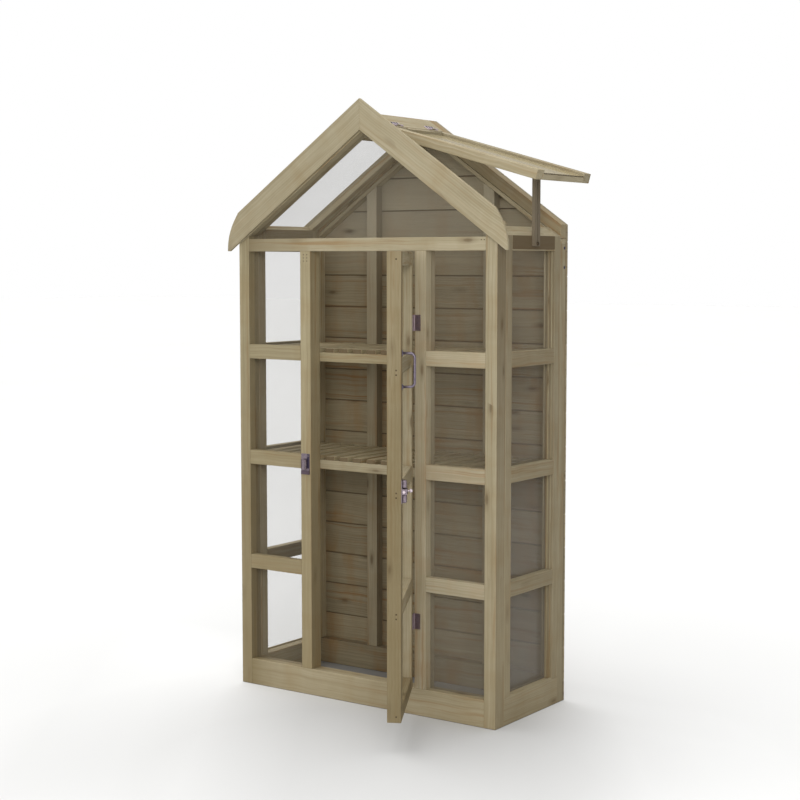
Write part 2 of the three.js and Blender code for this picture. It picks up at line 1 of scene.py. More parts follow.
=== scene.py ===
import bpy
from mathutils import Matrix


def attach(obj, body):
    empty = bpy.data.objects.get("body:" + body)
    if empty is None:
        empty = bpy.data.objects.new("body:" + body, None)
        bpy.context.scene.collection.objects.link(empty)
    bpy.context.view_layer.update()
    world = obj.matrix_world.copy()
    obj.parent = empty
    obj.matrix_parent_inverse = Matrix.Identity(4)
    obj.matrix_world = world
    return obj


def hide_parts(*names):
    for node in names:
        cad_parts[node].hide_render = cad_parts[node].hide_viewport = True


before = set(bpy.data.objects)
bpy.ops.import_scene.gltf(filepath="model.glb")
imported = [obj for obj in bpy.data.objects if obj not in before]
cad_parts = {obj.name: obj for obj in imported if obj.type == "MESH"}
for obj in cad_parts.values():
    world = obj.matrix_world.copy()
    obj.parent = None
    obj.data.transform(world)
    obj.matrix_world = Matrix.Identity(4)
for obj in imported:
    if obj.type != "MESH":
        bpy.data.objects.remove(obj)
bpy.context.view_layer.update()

import math
import random

import bmesh
import bpy
from mathutils import Matrix, Vector

MM = 0.001
RND = random.Random(41)

# Sizes in millimetres: X from the middle, Y from the front face of the frame, Z from the ground
GAP = 0.3               # between touching pieces
T = 37.0                # width of the planed timber
FRONT = 45.0            # depth of the front frame
HALF = 450.0            # half the width
CLEAR = HALF - T        # inner face of the posts
DOORWAY = 183.0         # half the doorway
REAR = 338.0            # front face of the rear posts
BOARD = 368.0           # front face of the back boards
BACK = 380.0            # rear face of the back boards
BASE = 77.0             # top of the bottom rails
TOP_UNDER = 1299.5      # underside and top of the front top rail
TOP = 1336.5
BAR_SHARES = (0.2434, 0.501, 0.7587)
BARS = [BASE + share * (TOP_UNDER - BASE) for share in BAR_SHARES]
BAR = 42.0              # height and depth of the mid rails
BAR_DEPTH = 24.0
SIDE_STILE = 32.0
EAVE_UNDER = 1303.0
EAVE_RISE = 37.75       # roof surface over the posts' outer face, above the top rail
PITCH = math.radians(34.8)
APEX = TOP + EAVE_RISE + HALF * math.tan(PITCH)
RAFTER = 45.0
BARGE_RISE = 37.0       # top edge of the barge board above the roof's surface
BARGE_WIDTH = 72.0
BARGE_THICK = 9.0
BARGE_CURVE = 3.0       # where its tail starts to curve, inside the post's outer face
BARGE_REACH = 37.0      # how far its tail passes the post
BARGE_DROP = 85.0       # how far its tail falls
BARGE_TIP = 7.0         # flat at the tail's end
LIGHT = 27.0            # thickness of a roof light
LIGHT_START = 64.5      # down the slope from the apex
LIGHT_OVERHANG = 21.75  # past the posts
LIGHT_END = (HALF + LIGHT_OVERHANG) / math.cos(PITCH)
LIGHT_FRONT = 46.0
LIGHT_BACK = 337.0
LIGHT_BAR = 16.0        # thickness of its low rail and middle bar
LIGHT_HEAD = 24.0       # widths of its top rail, low rail and middle bar
LIGHT_SILL = 48.0
LIGHT_MIDDLE = 38.0
KNUCKLE = 3.5           # pin of a hinge above the timber
HINGE_RUN = 63.75       # vent's pin, down the slope
DOOR_AXIS = 183.8       # door's pin
DOOR_OPEN = math.radians(120)
VENT_OPEN = math.radians(19.1)
DOOR_GAP = 3.0          # above and below the door
DOOR_LOW, DOOR_HIGH = BASE + DOOR_GAP, TOP_UNDER - DOOR_GAP
LATCH, HINGE_EDGE = 3.5 - DOORWAY, DOORWAY - 1.0  # edges of the door when it is shut
LATCH_X = LATCH + T / 2  # middle of the latch stile
FIRST_BOARD = 58.0      # heights of the lowest back board, of the others, and the least of the highest
BOARD_WIDTH = 97.5
LEAST_BOARD = 6.0
BATTEN_X = DOORWAY + T / 2 + 9.0
RIDGE_PLATE = (63.0, 17.0)  # width down the slope, thickness
RIDGE_STEM = 73.0       # foot of the stem below the apex
SLAT = 32.0
SLAT_THICK = 12.0
SLAT_STEP = 48.6        # most from slat to slat
BEARER = (14.0, 27.0)   # depth, height
SHELF_RISE = 14.5       # shelf's top above the middle of the rail in front of it

UP = (0, 0, 1)
ALONG_X = (1, 0, 0)
ALONG_Y = (0, 1, 0)
FORWARD = (0, -1, 0)
SIDES = (("left", -1), ("right", 1))


def shift(x, y, z):
    return Matrix.Translation((x * MM, y * MM, z * MM))


# Where each group of pieces lies
SHELL = shift(0, -FRONT / 2, 0)
DOOR = (SHELL @ shift(DOOR_AXIS, -KNUCKLE, 0) @ Matrix.Rotation(DOOR_OPEN, 4, "Z")
        @ shift(-DOOR_AXIS, KNUCKLE, 0))
SLOPE_LEFT = SHELL @ shift(0, 0, APEX) @ Matrix.Rotation(-PITCH, 4, "Y")
SLOPE_RIGHT = SHELL @ shift(0, 0, APEX) @ Matrix.Rotation(PITCH, 4, "Y")
VENT = (SLOPE_RIGHT @ shift(HINGE_RUN, 0, KNUCKLE) @ Matrix.Rotation(-VENT_OPEN, 4, "Y")
        @ shift(-HINGE_RUN, 0, -KNUCKLE))


def under_roof(x, depth):
    """Height at x of a line that lies a depth below the roof's surface."""
    return APEX - abs(x) * math.tan(PITCH) - depth / math.cos(PITCH)


def down_slope(side):
    return (side * math.cos(PITCH), 0, -math.sin(PITCH))


def span(side, a, b):
    return tuple(sorted((side * a, side * b)))


# Materials
def lin(r, g, b):
    """A colour written in sRGB steps of 0 to 255, as linear light."""
    def one(v):
        v /= 255.0
        return v / 12.92 if v <= 0.04045 else ((v + 0.055) / 1.055) ** 2.4
    return (one(r), one(g), one(b), 1.0)


def dimmed(colour, parts):
    return tuple(c * part for c, part in zip(colour[:3], parts)) + (1.0,)


class Nodes:
    """The node tree of a material or world, with short calls for its usual nodes."""

    def __init__(self, owner, output="ShaderNodeOutputMaterial"):
        owner.use_nodes = True
        self.owner = owner
        self.tree = owner.node_tree
        self.tree.nodes.clear()
        self.out = self.tree.nodes.new(output)
        self.x = 0

    def add(self, kind, inputs=None, **props):
        node = self.tree.nodes.new(kind)
        self.x += 180
        node.location = (self.x, 0)
        for key, value in props.items():
            setattr(node, key, value)
        for key, value in (inputs or {}).items():
            if isinstance(value, bpy.types.NodeSocket):
                self.tree.links.new(value, node.inputs[key])
            else:
                node.inputs[key].default_value = value
        return node

    def math(self, op, a, b=0.0, c=0.0, clamp=False):
        return self.add("ShaderNodeMath", {0: a, 1: b, 2: c}, operation=op, use_clamp=clamp).outputs[0]

    def weighted(self, *terms):
        """The sum of some values, each times its weight."""
        parts = [self.math("MULTIPLY", value, weight) for value, weight in terms]
        total = parts[0]
        for part in parts[1:]:
            total = self.math("ADD", total, part)
        return total

    def mix(self, factor, a, b):
        return self.add("ShaderNodeMix", {0: factor, 6: a, 7: b}, data_type="RGBA").outputs[2]

    def mix_shaders(self, factor, a, b):
        return self.add("ShaderNodeMixShader", {0: factor, 1: a.outputs[0], 2: b.outputs[0]})

    def ramp(self, value, stops):
        node = self.add("ShaderNodeValToRGB", {"Fac": value})
        elements = node.color_ramp.elements
        while len(elements) < len(stops):
            elements.new(0.5)
        for element, (position, level) in zip(elements, stops):
            element.position = position
            element.color = (level, level, level, 1.0)
        return node.outputs[0]

    def noise(self, vector, scale, detail=3.0, rough=0.55):
        return self.add("ShaderNodeTexNoise", {
            "Vector": vector, "Scale": scale, "Detail": detail, "Roughness": rough,
        }).outputs["Fac"]

    def bump(self, height, strength, distance):
        return self.add("ShaderNodeBump", {
            "Height": height, "Strength": strength, "Distance": distance,
        }).outputs[0]

    def axes(self, vector):
        return self.add("ShaderNodeSeparateXYZ", {"Vector": vector}).outputs

    def vector(self, x, y, z):
        return self.add("ShaderNodeCombineXYZ", {"X": x, "Y": y, "Z": z}).outputs[0]

    def object_place(self):
        return self.add("ShaderNodeTexCoord").outputs["Object"]

    def geometry(self, output):
        return self.add("ShaderNodeNewGeometry").outputs[output]

    def surface(self, shader):
        self.tree.links.new(shader.outputs[0], self.out.inputs["Surface"])
        return self.owner


RINGS = 190.0           # growth rings in a metre
PITH = (0.034, 0.019)   # how far the pith lies off a piece's middle, in metres
LOW_AND_HIGH = (0.2, 1.3)  # heights in metres between which the level of a painted shade changes
BROWN_PARTS = (0.52, 0.42, 0.34)
# the colour of painted shade, as parts of a wood's dark colour
PAINTED_SHADE_PARTS = (0.50, 0.44, 0.41)
RESIN_PARTS = (0.84, 0.66, 0.46)


def wood(name, base, dark, pale, warm, warmth=0.35, upright=False, painted_shades=(), fades=(), resin_part=0.62):
    """Planed softwood: streaks and growth rings along the grain, knots, patches of weather, fine bump.

    Each of the shades, (axis, part, spread, level, low level), is painted shade: faces whose normal has that
    part along the axis are darker, by the first level at the top and the second at the ground.
    fades are (axis, start, end, level, colour): a drift in colour from one place to another, in metres.
    upright timber runs along the object's own Z, and needs no grain coordinates on its mesh.
    """
    n = Nodes(bpy.data.materials.new(name))
    if upright:
        x, y, z = n.axes(n.object_place())
        grain, tone = n.vector(z, y, x), 0.5
    else:
        grain = n.add("ShaderNodeAttribute", attribute_name="grain").outputs["Vector"]
        tone = n.add("ShaderNodeAttribute", attribute_name="tone").outputs["Fac"]
    along, across, through = n.axes(grain)

    # wander of the grain along the length
    drift_at = n.vector(n.math("MULTIPLY", along, 3.2), across, through)
    bend = n.math("MULTIPLY", n.math("SUBTRACT", n.noise(drift_at, 2.2, 2.0), 0.5), 0.015)
    bent = n.math("ADD", across, bend)

    def stretched(lengthwise, crosswise, sideways):
        """Coordinates for a pattern drawn out along the grain."""
        return n.vector(n.math("MULTIPLY", along, lengthwise), n.math("MULTIPLY", sideways, crosswise),
                        n.math("MULTIPLY", through, crosswise))

    # growth rings about the pith
    a = n.math("ADD", bent, PITH[0])
    b = n.math("ADD", through, PITH[1])
    radius = n.math("SQRT", n.math("ADD", n.math("MULTIPLY", a, a), n.math("MULTIPLY", b, b)))
    ring = n.math("FRACT", n.math("MULTIPLY", radius, RINGS))
    ring = n.ramp(ring, ((0.0, 0.0), (0.72, 0.55), (0.93, 1.0), (1.0, 0.0)))

    # fine and wide streaks
    streak = n.noise(stretched(5.0, 210.0, bent), 1.0, 4.0, 0.6)
    wide = n.noise(stretched(1.6, 46.0, bent), 1.0, 2.0)
    shade = n.weighted((ring, 0.17), (streak, 0.48), (wide, 0.35))
    colour = n.mix(n.ramp(shade, ((0.36, 0.0), (0.62, 1.0))), pale, base)

    # dull patches, warm patches and resin stripes
    patch = n.noise(grain, 9.0, 3.0)
    colour = n.mix(n.ramp(patch, ((0.45, 0.0), (0.80, 0.30))), colour, dark)
    glow = n.noise(drift_at, 3.4, 3.0)
    colour = n.mix(n.ramp(glow, ((0.48, 0.0), (0.72, warmth))), colour, warm)
    resin = n.noise(stretched(2.3, 90.0, bent), 1.0, 3.0)
    colour = n.mix(n.ramp(resin, ((0.54, 0.0), (0.72, resin_part))), colour, dimmed(warm, RESIN_PARTS))

    # drifts in colour over the whole object, and each piece's own tone
    place = n.axes(n.geometry("Position"))
    for axis, start, end, level, drift_colour in fades:
        amount = n.add("ShaderNodeMapRange", {
            "Value": place[axis], "From Min": start, "From Max": end, "To Min": 0.0, "To Max": level,
        }).outputs[0]
        colour = n.mix(amount, colour, n.mix(0.25, drift_colour, colour))
    lift = n.math("ADD", n.math("MULTIPLY", tone, 0.20), 0.89)
    colour = n.add("ShaderNodeHueSaturation", {"Value": lift, "Saturation": 1.0, "Color": colour}).outputs[0]

    # fine checks, and knots: sparse ovals with a dark ring
    checks = n.ramp(n.noise(stretched(11.0, 420.0, across), 1.0, 2.0), ((0.64, 0.0), (0.74, 1.0)))
    colour = n.mix(n.math("MULTIPLY", checks, 0.30), colour, dark)
    cells = n.add("ShaderNodeTexVoronoi", {
        "Vector": stretched(8.5, 26.0, across), "Scale": 1.0, "Randomness": 1.0,
    }).outputs
    draw = n.add("ShaderNodeSeparateColor", {"Color": cells["Color"]}).outputs[0]
    spot = n.ramp(cells["Distance"], ((0.0, 1.0), (0.10, 0.8), (0.16, 0.35), (0.34, 0.0)))
    knot = n.math("MULTIPLY", spot, n.math("GREATER_THAN", draw, 0.80))
    colour = n.mix(n.math("MULTIPLY", knot, 0.75), colour, dimmed(dark, BROWN_PARTS))

    # painted shade: faces turned along an axis are darkened, by a level that changes with height
    for axis, part, spread, level, low_level in painted_shades:
        amount = n.add("ShaderNodeMapRange", {
            "Value": place[2], "From Min": LOW_AND_HIGH[0], "From Max": LOW_AND_HIGH[1],
            "To Min": low_level, "To Max": level,
        }).outputs[0]
        turned = n.math("ABSOLUTE", n.axes(n.geometry("True Normal"))[axis])
        amount = n.math("MULTIPLY", n.math("COMPARE", turned, part, spread), amount)
        colour = n.mix(amount, colour, dimmed(dark, PAINTED_SHADE_PARTS))

    height = n.weighted((streak, 0.7), (ring, 0.3), (checks, -0.6))
    return n.surface(n.add("ShaderNodeBsdfPrincipled", {
        "Base Color": colour,
        "Roughness": n.math("ADD", n.math("MULTIPLY", streak, 0.18), 0.66),
        "Normal": n.bump(height, 0.35, 0.0008),
        "Specular IOR Level": 0.28,
    }))


def glazing(name, low_angle, tints, gloss=0.22, film=0.055, low_film=0.0):
    """Clear styrene: lets nearly all light through, duller at a low angle, faintly wavy.

    film is its haze everywhere, low_film the haze that is added towards the ground.
    """
    n = Nodes(bpy.data.materials.new(name))
    coords = n.object_place()
    facing = n.add("ShaderNodeLayerWeight", {"Blend": 0.5}).outputs["Facing"]
    haze = n.noise(coords, 3.0, 4.0, 0.65)
    alpha = n.math("ADD", n.math("MULTIPLY", n.math("POWER", facing, 3.0), low_angle), film)
    alpha = n.math("ADD", alpha, n.math("MULTIPLY", haze, 0.04))
    # more haze towards the ground
    low_haze = n.ramp(n.axes(n.geometry("Position"))[2], ((0.1, low_film), (0.9, 0.0)))
    return n.surface(n.add("ShaderNodeBsdfPrincipled", {
        "Base Color": n.mix(haze, *tints),
        "Roughness": 0.10,
        "IOR": 1.45,
        "Alpha": n.math("ADD", alpha, low_haze, clamp=True),
        "Normal": n.bump(n.noise(coords, 7.0, 2.0), 0.05, 0.004),
        "Specular IOR Level": gloss,
    }))


def steel(name, base, worn, metallic=0.75):
    """Coated steel, slightly mottled and dulled."""
    n = Nodes(bpy.data.materials.new(name))
    coords = n.object_place()
    mottle = n.noise(coords, 160.0, 4.0, 0.6)
    return n.surface(n.add("ShaderNodeBsdfPrincipled", {
        "Base Color": n.mix(n.ramp(mottle, ((0.35, 0.0), (0.70, 1.0))), base, worn),
        "Roughness": n.math("ADD", n.math("MULTIPLY", mottle, 0.25), 0.30),
        "Metallic": metallic,
        "Normal": n.bump(n.noise(coords, 900.0, 2.0), 0.2, 0.0003),
    }))


def painted_face_shade(axis, level, low_level):
    """Painted shade for the faces square to an axis."""
    return (axis, 1.0, 0.1, level, low_level)


FRESH = (lin(163, 151, 121), lin(136, 121, 90), lin(184, 173, 145), lin(160, 138, 98))
WARM = (lin(158, 145, 113), lin(132, 117, 84), lin(178, 166, 134), lin(156, 134, 94))
# a darker set of colours for the back boards: painted shade inside the frame
DARKER_SET = (lin(135, 122, 96), lin(106, 90, 64), lin(154, 142, 114), lin(142, 110, 68))
FOOT = (2, 0.9, 0.0, 0.35, lin(152, 131, 92))
# painted light: paler high up, under the roof
PAINTED_LIGHT_HIGH_UP = [(2, 0.8, 1.1, 0.12, lin(156, 146, 121)), (2, 1.2, 1.42, 0.78, lin(178, 169, 147))]
# painted light on the right ends of the boards
PAINTED_LIGHT_BOARD_ENDS = (0, 0.4440, 0.4495, 0.9, lin(174, 160, 128))
# painted shade in the chamfers between the boards
PAINTED_CHAMFER_SHADE = (1, 0.6, 0.36, 0.6, 0.6)

TIMBER = wood("timber", *FRESH, fades=[FOOT])
BARGE_WOOD = wood("barge_timber", *FRESH, resin_part=0.25)
# painted shade: a darker, warmer copy of the timber for the left of the front and the upper shelf's bearers,
# darker towards the bottom, with painted shade on its side faces
SHADED_LEFT_WOOD = wood("left_timber", *WARM, fades=[(2, 1.2, 0.2, 0.75, lin(144, 127, 92))],
                 painted_shades=[painted_face_shade(0, 0.25, 0.25)])
# painted shade on the side faces of the right front post, deepest at the top under the roof
SHADED_POST_WOOD = wood("shaded_post_timber", *FRESH, fades=[FOOT], painted_shades=[painted_face_shade(0, 0.68, 0.12)])
# painted shade on the side faces of the side stiles, rails and left eave rail, deepest at the top
SHADED_SIDE_WOOD = wood("shaded_side_timber", *FRESH, fades=[FOOT], painted_shades=[painted_face_shade(0, 0.46, 0.12)])
# painted shade on the faces of the rear reveal, deepest at the top
SHADED_REVEAL_WOOD = wood("shaded_reveal_timber", *FRESH, fades=[FOOT],
                   painted_shades=[painted_face_shade(0, 0.28, 0.10), painted_face_shade(1, 0.5, 0.2)])
HEAD_WOOD = wood("head_timber", *FRESH, fades=[(0, -0.14, -0.42, 1.0, lin(124, 110, 80))])
BASE_WOOD = wood("base_timber", *FRESH, fades=[FOOT, (0, -0.33, -0.42, 1.0, lin(126, 110, 72))])
# painted light: a paler copy of the timber for the right stile and rails
LIT_RIGHT_WOOD = wood("right_timber", lin(173, 160, 130), lin(146, 130, 98), lin(192, 181, 153),
                  lin(176, 150, 116), 0.5)
DOOR_WOOD = wood("door_timber", lin(148, 133, 100), lin(122, 106, 74), lin(164, 150, 118),
                 lin(140, 118, 78), fades=[(2, 1.05, 0.75, 0.6, lin(128, 112, 76))])
# painted shadow of the open vent on the faces of the right eave rail
SHADOWED_EAVE_WOOD = wood("shadowed_eave_timber", *FRESH, painted_shades=[painted_face_shade(0, 0.9, 0.9)])
# a slightly darker timber with painted shade on the front and back faces of the rear rafters' upper band,
# under the open vent
SHADED_RAFTER_WOOD = wood("shaded_rafter_timber", lin(158, 144, 113), lin(128, 113, 82), lin(174, 160, 129),
                   lin(164, 134, 92), 0.6, painted_shades=[painted_face_shade(1, 0.12, 0.12)])
# the back boards: painted shade in the chamfers, painted light high up and at the right ends
BOARDS = wood("boards", *DARKER_SET, 0.75, painted_shades=[PAINTED_CHAMFER_SHADE], fades=PAINTED_LIGHT_HIGH_UP + [PAINTED_LIGHT_BOARD_ENDS])
# painted shade on the battens' side faces; painted light, paler high up
BATTENS = wood("battens", lin(140, 128, 102), lin(112, 97, 72), lin(158, 147, 121), lin(138, 114, 80),
               0.5, painted_shades=[painted_face_shade(0, 0.3, 0.3)],
               fades=[(2, 0.7, 1.0, 0.6, lin(156, 146, 122)), PAINTED_LIGHT_HIGH_UP[1]])
# darker slat ends: end grain, with painted shade
SLATS = wood("slats", lin(156, 143, 112), lin(132, 115, 83), lin(174, 162, 131), lin(158, 132, 96),
             painted_shades=[painted_face_shade(1, 0.8, 0.8)])
# painted shadow of the open vent: the stay's timber is darkened
SHADED_STAY_WOOD = wood("stay_timber", lin(118, 107, 89), lin(98, 87, 70), lin(130, 119, 100),
                 lin(120, 102, 78), upright=True)

GLAZING = glazing("glazing", 0.32, (lin(122, 118, 108), lin(142, 139, 130)))
# painted reflection: at a low angle the vent's pane turns nearly solid and wood-coloured, for the timber it
# reflects
PAINTED_REFLECTION_VENT_GLAZING = glazing("vent_glazing_painted_reflection", 0.94, (lin(172, 158, 122), lin(188, 175, 143)), 0.02)
FRONT_GLAZING = glazing("front_glazing", 0.32, (lin(134, 127, 113), lin(152, 145, 131)), 0.24, 0.05, 0.15)
SIDE_GLAZING = glazing("side_glazing", 0.32, (lin(138, 132, 122), lin(156, 150, 140)), 0.26, 0.05, 0.28)

STEEL = steel("dark_steel", lin(120, 108, 116), lin(144, 132, 140))
HANDLE_STEEL = steel("handle_steel", lin(108, 99, 112), lin(132, 123, 133))
SHADE_STEEL = steel("shade_steel", lin(78, 62, 74), lin(98, 82, 92), 0.4)
ZINC = steel("zinc", lin(212, 196, 204), lin(228, 214, 220), 0.6)
DULL_ZINC = steel("dull_zinc", lin(160, 148, 122), lin(176, 164, 138))
HINGE_STEEL = steel("hinge_steel", lin(136, 119, 124), lin(156, 140, 142))
SCREW = steel("dark_screw", lin(30, 20, 48), lin(46, 34, 64), 0.0)
NAIL = steel("nail", lin(70, 56, 40), lin(92, 78, 58))


# Pieces
def link(thing):
    bpy.context.scene.collection.objects.link(thing)
    return thing


def add_grain(mesh, direction):
    """Give each point its place along, across and through the grain, and the piece a tone of its own."""
    main = Vector(direction).normalized()
    helper = Vector((0, 1, 0)) if abs(main.y) < 0.9 else Vector((1, 0, 0))
    second = main.cross(helper).normalized()
    third = main.cross(second)
    centre = sum((v.co for v in mesh.vertices), Vector()) / len(mesh.vertices)
    onward = RND.uniform(0, 60)
    side = RND.choice((-1, 1)) * RND.uniform(0.0, 0.03)
    deep = RND.uniform(-0.015, 0.03)
    tone = RND.random()
    flat = []
    for vertex in mesh.vertices:
        local = (vertex.co - centre) * MM
        flat += [local.dot(main) + onward, local.dot(second) + side, local.dot(third) + deep]
    mesh.attributes.new("grain", "FLOAT_VECTOR", "POINT")
    mesh.attributes["grain"].data.foreach_set("vector", flat)
    mesh.attributes.new("tone", "FLOAT", "POINT")
    mesh.attributes["tone"].data.foreach_set("value", [tone] * len(mesh.vertices))


def finish(bm, name, place, body, nodes, material, grain):
    """Write a mesh made in millimetres into its place, with its grain if it is timber."""
    mesh = bpy.data.meshes.new(name)
    bmesh.ops.recalc_face_normals(bm, faces=bm.faces)
    bm.to_mesh(mesh)
    bm.free()
    if grain is not None:
        add_grain(mesh, grain)
    mesh.transform(place @ Matrix.Diagonal((MM, MM, MM, 1)))
    piece = link(bpy.data.objects.new(name, mesh))
    mesh.materials.append(material)
    for node in nodes:
        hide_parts(node)
    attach(piece, body)
    return piece


SHARP = math.radians(28)  # edges that turn by more are eased


def prism(name, outline, y, grain, body="frame", nodes=(), place=SHELL, material=TIMBER, slot="timber",
          bevel=1.3, segments=2):
    """An outline in X and Z carried from front to back, with its sharp edges eased."""
    bm = bmesh.new()
    front, back = [[bm.verts.new((a, depth, b)) for a, b in outline] for depth in y]
    bm.faces.new(front)
    bm.faces.new(list(reversed(back)))
    for i in range(len(outline)):
        j = (i + 1) % len(outline)
        bm.faces.new((front[i], front[j], back[j], back[i]))
    bmesh.ops.recalc_face_normals(bm, faces=bm.faces)
    bm.normal_update()
    sharp = [e for e in bm.edges if e.calc_face_angle(0.0) > SHARP]
    bmesh.ops.bevel(bm, geom=sharp, offset=bevel, segments=segments, profile=0.5, affect="EDGES",
                    clamp_overlap=True)
    return finish(bm, name, place, body, nodes, material, grain)


def block(name, x, y, z, grain, **options):
    return prism(name, [(x[0], z[0]), (x[1], z[0]), (x[1], z[1]), (x[0], z[1])], y, grain, **options)


def cut_to_roof(outer, inner, foot, depth):
    """The outline of a timber whose head follows the roof."""
    return [(outer, foot), (inner, foot), (inner, under_roof(inner, depth)), (outer, under_roof(outer, depth))]


# Posts, rafters and barge boards
REBATE = (32.0, 33.5)   # the rear rafter's two bands, with a fine groove between them
STEP = 0.2              # how far the lower band stands forward
TAIL_STEPS = 24
POST_MATERIALS = {"front_post_left": SHADED_LEFT_WOOD, "front_post_right": SHADED_POST_WOOD}


def post(name, side, y):
    prism(name + "_timber", cut_to_roof(side * HALF, side * CLEAR, 0.0, RAFTER + GAP), y, UP, nodes=[name],
          material=POST_MATERIALS.get(name, TIMBER))


def rafter(name, side, y, high=0.0, low=RAFTER, label="timber", material=TIMBER):
    outer = side * HALF
    outline = [(0, under_roof(0, high)), (outer, under_roof(outer, high)), (outer, under_roof(outer, low)),
               (0, under_roof(0, low))]
    prism(f"{name}_{label}", outline, y, down_slope(side), nodes=[name], material=material)


def bezier(points, steps):
    degree = len(points) - 1
    out = []
    for i in range(steps + 1):
        t = i / steps
        weights = [math.comb(degree, k) * (1 - t) ** (degree - k) * t ** k for k in range(degree + 1)]
        out.append(tuple(sum(w * p[axis] for w, p in zip(weights, points)) for axis in (0, 1)))
    return out


def barge_board(name, side):
    top = -BARGE_RISE * math.cos(PITCH)
    foot = top + BARGE_WIDTH
    straight, tip = HALF - BARGE_CURVE, HALF + BARGE_REACH
    shoulder, tip_height = under_roof(straight, top), under_roof(tip, top) - BARGE_DROP
    fall = tip_height - shoulder
    tail = bezier([
        (straight, shoulder),
        (straight + 0.45 * (tip - straight), shoulder + 0.25 * fall),
        (tip, shoulder + 0.5 * fall),
        (tip, tip_height),
    ], TAIL_STEPS)
    outline = [(0, under_roof(0, top))] + tail + [(tip - BARGE_TIP, tip_height), (0, under_roof(0, foot))]
    prism(name + "_timber", [(side * x, z) for x, z in outline], (-BARGE_THICK, 0.0), down_slope(side),
          nodes=[name], bevel=1.2, material=BARGE_WOOD)


for label, side in SIDES:
    post(f"front_post_{label}", side, (0, FRONT))
    post(f"rear_post_{label}", side, (REAR, BOARD))
    rafter(f"front_rafter_{label}", side, (0, FRONT))
    rafter(f"rear_rafter_{label}", side, (REAR, BOARD), 0.0, REBATE[0], "upper", SHADED_RAFTER_WOOD)
    rafter(f"rear_rafter_{label}", side, (REAR - STEP, BOARD), REBATE[1], RAFTER, "lower")
    barge_board(f"barge_board_{label}", side)

# Front frame
block("front_bottom_rail_timber", (-CLEAR, CLEAR), (0, FRONT), (0, BASE), ALONG_X,
      nodes=["front_bottom_rail"], material=BASE_WOOD)
block("front_top_rail_timber", (-CLEAR, CLEAR), (0, FRONT), (TOP_UNDER, TOP), ALONG_X,
      nodes=["front_top_rail"], material=HEAD_WOOD)
# the left stile and rails take painted shade, the right ones painted light
for (label, side), material in zip(SIDES, (SHADED_LEFT_WOOD, LIT_RIGHT_WOOD)):
    block(f"front_stile_{label}_timber", span(side, DOORWAY, DOORWAY + T), (0, FRONT), (BASE, TOP_UNDER), UP,
          nodes=[f"front_stile_{label}"], material=material)
    for index, centre in enumerate(BARS, 1):
        block(f"front_rail_{label}_{index}_timber", span(side, DOORWAY + T, CLEAR), (0, BAR_DEPTH),
              (centre - BAR / 2, centre + BAR / 2), ALONG_X, nodes=[f"front_rail_{label}_{index}"],
              material=material)

# Sides
SIDE_FRONT, SIDE_REAR = FRONT + SIDE_STILE, REAR - SIDE_STILE  # the opening between the side's stiles
for (label, side), eave_material in zip(SIDES, (SHADED_SIDE_WOOD, SHADOWED_EAVE_WOOD)):
    block(f"side_bottom_rail_{label}_timber", span(side, CLEAR, HALF), (FRONT, REAR), (0, BASE), ALONG_Y,
          nodes=[f"side_bottom_rail_{label}"])
    window = {"nodes": [f"side_window_frame_{label}"]}
    outer, inner = side * HALF, side * CLEAR
    stile = cut_to_roof(outer, inner, BASE, LIGHT + GAP)
    prism(f"side_stile_{label}_front", stile, (FRONT, SIDE_FRONT), UP, material=SHADED_SIDE_WOOD, **window)
    prism(f"side_stile_{label}_rear", stile, (SIDE_REAR, REAR), UP, material=SHADED_REVEAL_WOOD, **window)
    for index, centre in enumerate(BARS, 1):
        block(f"side_rail_{label}_{index}", span(side, HALF, HALF - BAR_DEPTH), (SIDE_FRONT, SIDE_REAR),
              (centre - BAR / 2, centre + BAR / 2), ALONG_Y, material=SHADED_SIDE_WOOD, **window)
    # the right eave rail takes painted shadow of the open vent
    prism(f"side_eave_rail_{label}_timber", cut_to_roof(outer, inner, EAVE_UNDER, LIGHT + GAP),
          (SIDE_FRONT, SIDE_REAR), ALONG_Y, nodes=[f"side_eave_rail_{label}"], material=eave_material)


# Back wall: matched boards with chamfered edges, battens and rail
def clip(polygon, keep):
    """The part of a polygon where keep is not negative."""
    out = []
    for i, here in enumerate(polygon):
        there = polygon[(i + 1) % len(polygon)]
        a, b = keep(here), keep(there)
        if a >= 0:
            out.append(here)
        if (a > 0 > b) or (a < 0 < b):
            t = a / (a - b)
            out.append((here[0] + t * (there[0] - here[0]), here[1] + t * (there[1] - here[1])))
    return out


back = {"nodes": ["back_wall"], "slot": "boards"}
edges = [0.0]
height = FIRST_BOARD
while height + LEAST_BOARD < APEX:
    edges.append(height)
    height += BOARD_WIDTH
edges.append(APEX)
for index, (low, high) in enumerate(zip(edges, edges[1:]), 1):
    board = [(-HALF, low), (HALF, low), (HALF, high), (-HALF, high)]
    for way in (-1, 1):
        board = clip(board, lambda p, way=way: APEX - way * p[0] * math.tan(PITCH) - p[1])
    prism(f"back_board_{index}", board, (BOARD, BACK), ALONG_X, material=BOARDS, bevel=2.2, **back)
for label, side in SIDES:
    outline = cut_to_roof(side * (BATTEN_X - T / 2), side * (BATTEN_X + T / 2), BASE, RAFTER + GAP)
    prism(f"back_batten_{label}", outline, (REAR, BOARD), UP, material=BATTENS, **back)
block("back_bottom_rail", (-CLEAR, CLEAR), (REAR, BOARD), (0, BASE), ALONG_X, material=BOARDS, **back)

